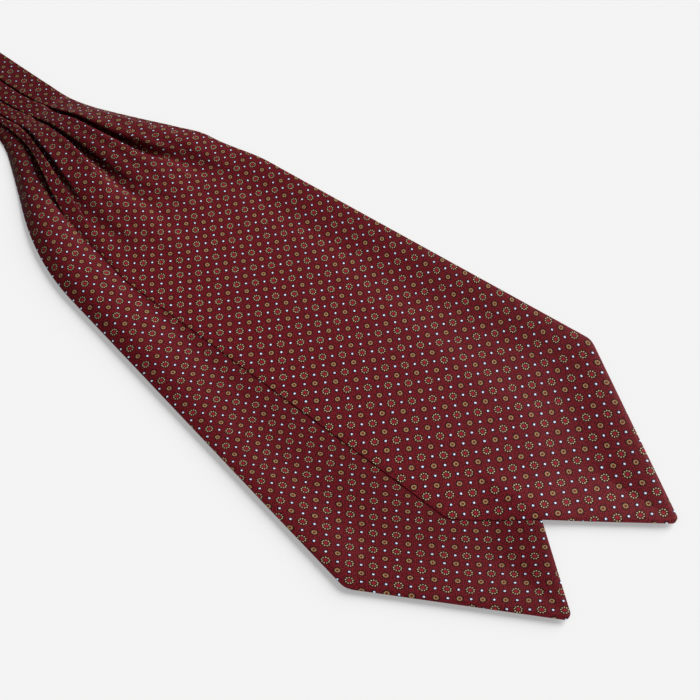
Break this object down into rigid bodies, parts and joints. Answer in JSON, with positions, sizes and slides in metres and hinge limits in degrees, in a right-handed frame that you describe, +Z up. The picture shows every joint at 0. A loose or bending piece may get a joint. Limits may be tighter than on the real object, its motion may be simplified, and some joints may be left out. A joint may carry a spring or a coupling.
{
  "type": "silk cravat",
  "caption": "Silk day cravat laid flat: pointed blades fanned one over the other, with soft folds opening from a pleated neckband folded in half.",
  "frame": {"origin": "on the table under the middle of the cravat's footprint", "axes": "+X along the neckband towards the blades' points, +Y towards the front blade's far edge, +Z up from the table"},
  "size_m": [0.6844, 0.2168, 0.0124],
  "materials": {
    "printed_silk": "fine printed silk twill with a soft low sheen"
  },
  "bodies": {
    "root": {"back_blade": "printed_silk", "front_blade": "printed_silk", "back_neckband": "printed_silk", "front_neckband": "printed_silk", "neckband_fold": "printed_silk"}
  },
  "joints": []
}
